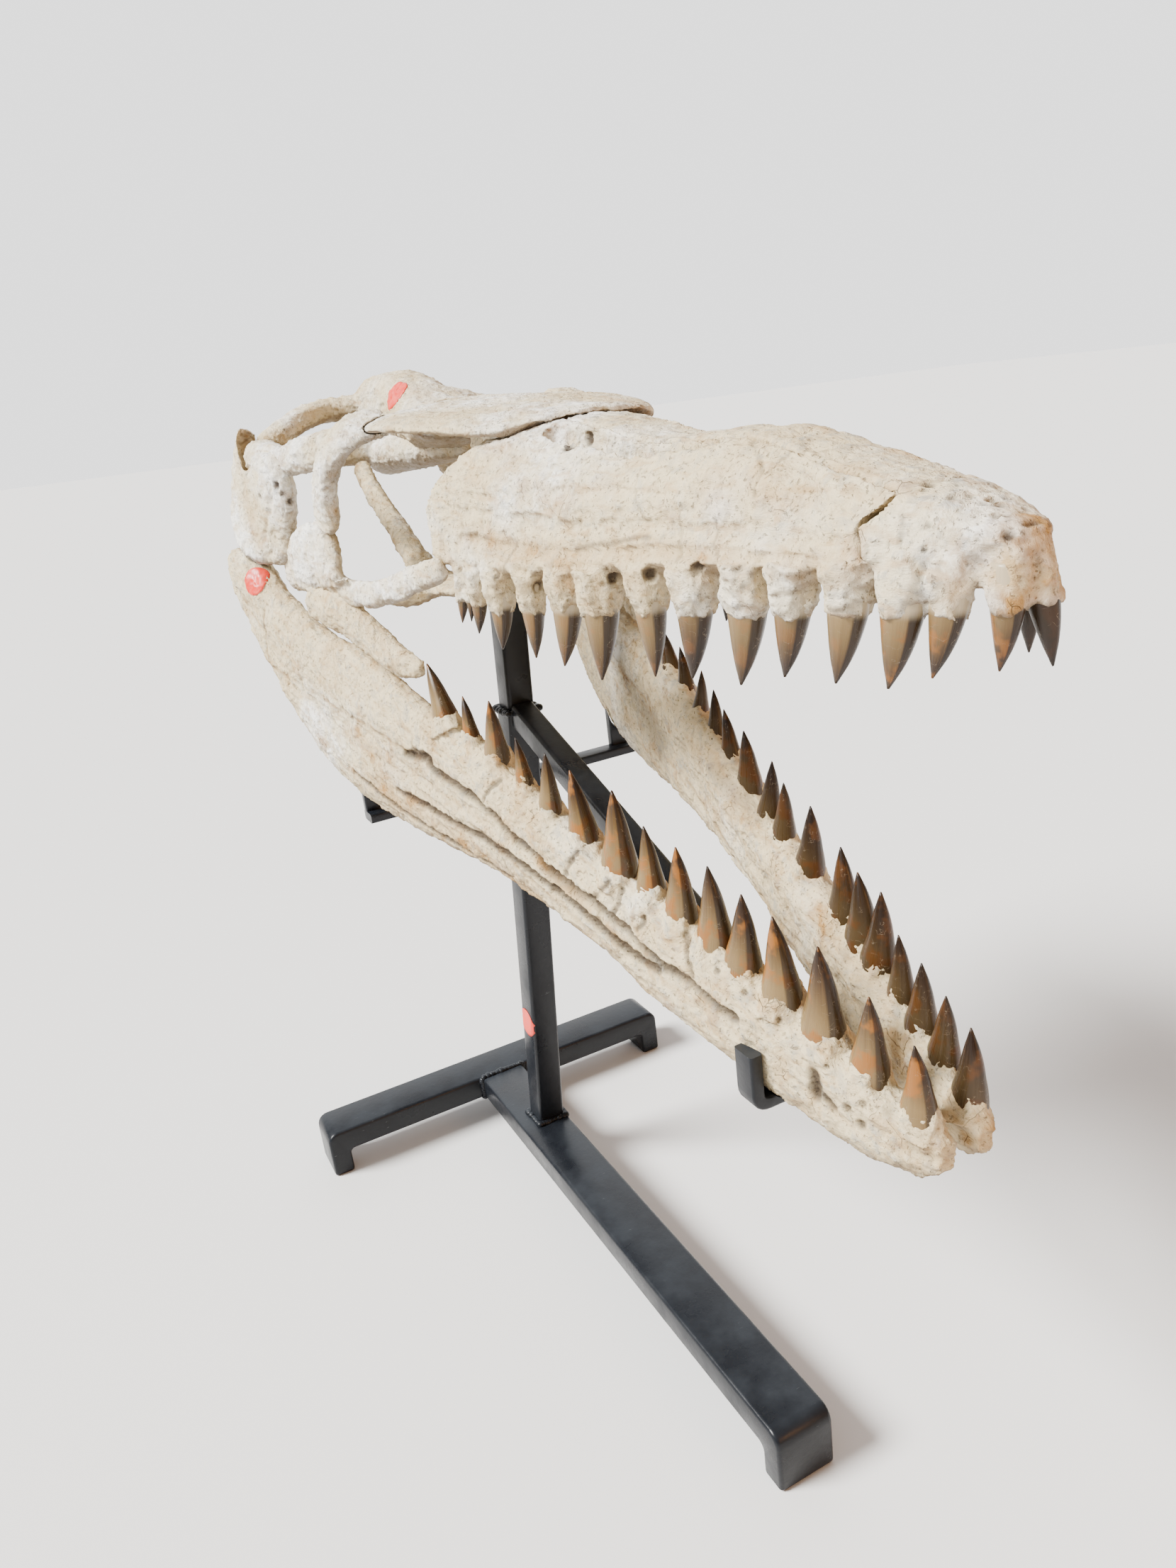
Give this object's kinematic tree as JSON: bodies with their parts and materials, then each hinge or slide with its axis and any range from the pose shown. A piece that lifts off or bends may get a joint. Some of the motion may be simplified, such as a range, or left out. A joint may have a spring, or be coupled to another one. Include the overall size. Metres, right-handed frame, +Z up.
{
  "type": "fossil mosasaur skull on a stand",
  "caption": "Fossil mosasaur skull with open jaws and full rows of conical teeth, held on its own black welded steel stand.",
  "frame": {"origin": "on the floor at the middle of the whole footprint", "axes": "+X towards the snout, +Y to the animal's left, +Z up"},
  "size_m": [0.66, 0.332, 0.6532],
  "materials": {
    "fossil_bone": "dry, chalky fossil bone, cream with tan stains, and amber to dark brown tooth crowns",
    "black_steel": "satin black paint over welded steel tube"
  },
  "bodies": {
    "root": {"angular_left": "fossil_bone", "angular_right": "fossil_bone", "articular_left": "fossil_bone", "articular_right": "fossil_bone", "braincase": "fossil_bone", "coronoid_left": "fossil_bone", "coronoid_right": "fossil_bone", "dentary_left": "fossil_bone", "dentary_right": "fossil_bone", "frontal": "fossil_bone", "jugal_left": "fossil_bone", "jugal_right": "fossil_bone", "maxilla_left": "fossil_bone", "maxilla_right": "fossil_bone", "parietal": "fossil_bone", "postorbital_left": "fossil_bone", "postorbital_right": "fossil_bone", "prefrontal_left": "fossil_bone", "prefrontal_right": "fossil_bone", "premaxilla": "fossil_bone", "pterygoid_left": "fossil_bone", "pterygoid_right": "fossil_bone", "quadrate_left": "fossil_bone", "quadrate_right": "fossil_bone", "splenial_left": "fossil_bone", "splenial_right": "fossil_bone", "squamosal_left": "fossil_bone", "squamosal_right": "fossil_bone", "stand_arm": "black_steel", "stand_cross_bar": "black_steel", "stand_foot_front": "black_steel", "stand_foot_left": "black_steel", "stand_foot_right": "black_steel", "stand_front_rest": "black_steel", "stand_long_bar": "black_steel", "stand_post": "black_steel", "stand_rear_rest_left": "black_steel", "stand_rear_rest_right": "black_steel", "stand_upper_post": "black_steel", "surangular_left": "fossil_bone", "surangular_right": "fossil_bone"}
  },
  "joints": []
}
